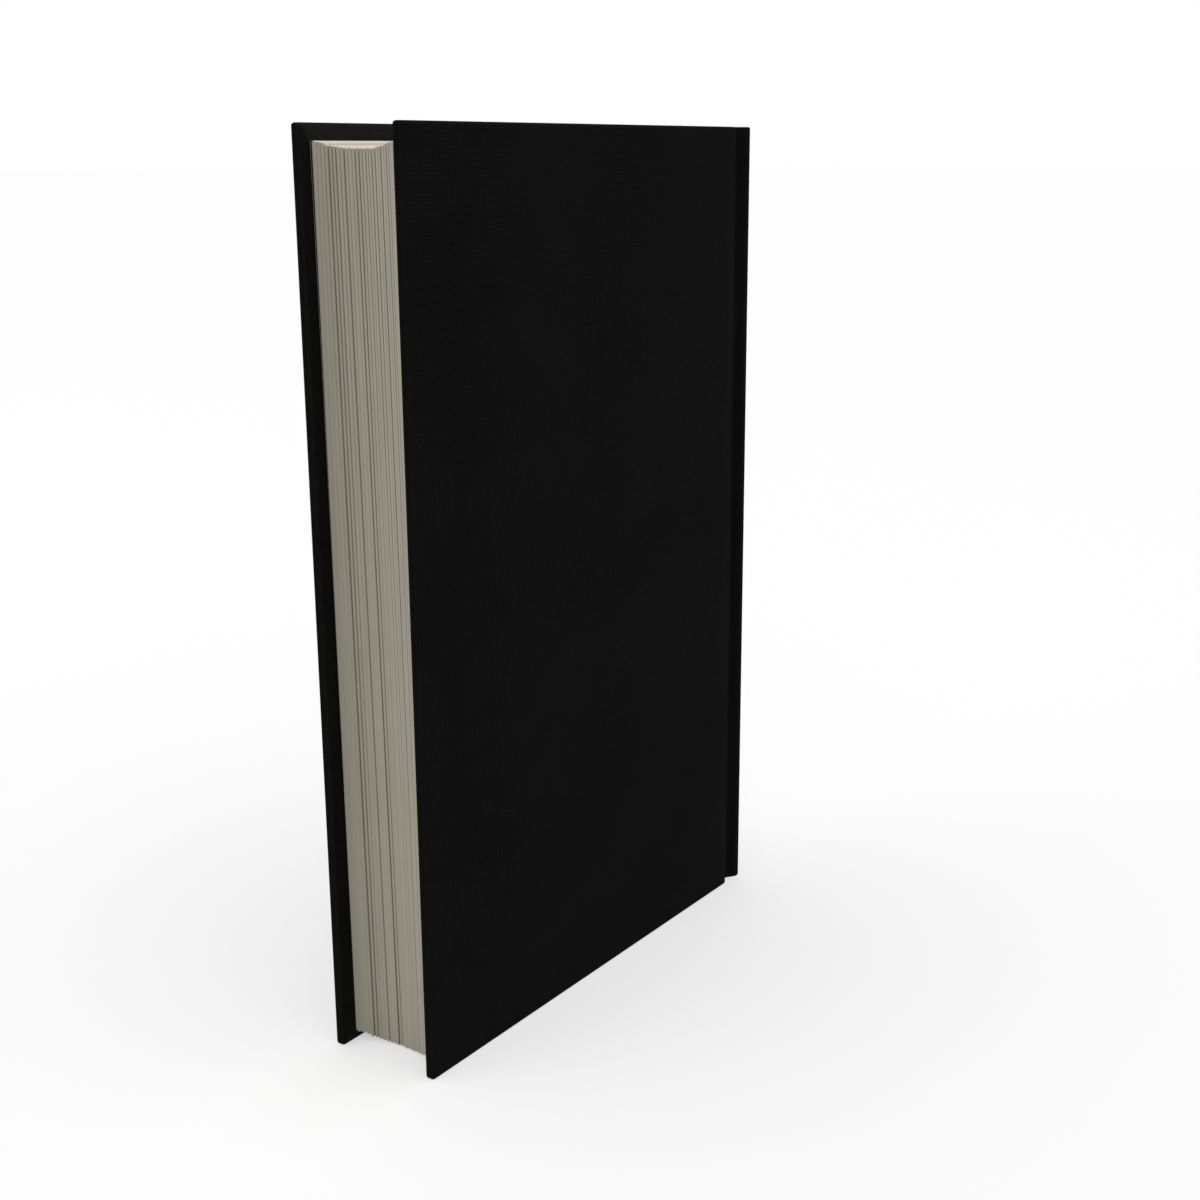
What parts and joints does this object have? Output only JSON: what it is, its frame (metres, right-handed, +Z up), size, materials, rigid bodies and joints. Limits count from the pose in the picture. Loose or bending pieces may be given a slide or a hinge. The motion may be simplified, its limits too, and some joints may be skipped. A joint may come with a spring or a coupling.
{
  "type": "hardback book",
  "caption": "Sewn hardback book with a rounded spine, hollow fore-edge and black cloth-covered case; both covers open on French joints.",
  "frame": {"origin": "middle of the foot, on the surface the book stands on", "axes": "+Z up along the height, +Y from the fore-edge to the spine, +X from the front cover to the back cover"},
  "size_m": [0.0346, 0.1636, 0.241],
  "materials": {
    "paper": "uncoated cream book paper, trimmed edges slightly toned",
    "endpaper": "matt black endpaper",
    "cloth": "plain-woven black book cloth, fine visible weave",
    "board": "dense greyboard",
    "mull": "open-weave sized cotton",
    "lining": "brown kraft paper",
    "band": "black silk head band, ribbed across"
  },
  "bodies": {
    "block": {"text_block": "paper", "front_flyleaf": "endpaper", "back_flyleaf": "endpaper", "spine_mull": "mull", "spine_lining": "lining", "head_band": "band", "tail_band": "band", "spine_strip": "board", "spine_cloth": "cloth"},
    "front_cover": {"front_board": "board", "front_cloth": "cloth", "front_pastedown": "endpaper", "front_mull_flap": "mull"},
    "back_cover": {"back_board": "board", "back_cloth": "cloth", "back_pastedown": "endpaper", "back_mull_flap": "mull"}
  },
  "joints": [
    {"name": "front_cover_hinge", "type": "hinge", "parent": "block", "child": "front_cover", "pos_m": [-0.0173, 0.07533, 0], "axis": [0, 0, -1], "range_deg": [0, 180]},
    {"name": "back_cover_hinge", "type": "hinge", "parent": "block", "child": "back_cover", "pos_m": [0.0173, 0.07533, 0], "axis": [0, 0, 1], "range_deg": [0, 180]}
  ]
}
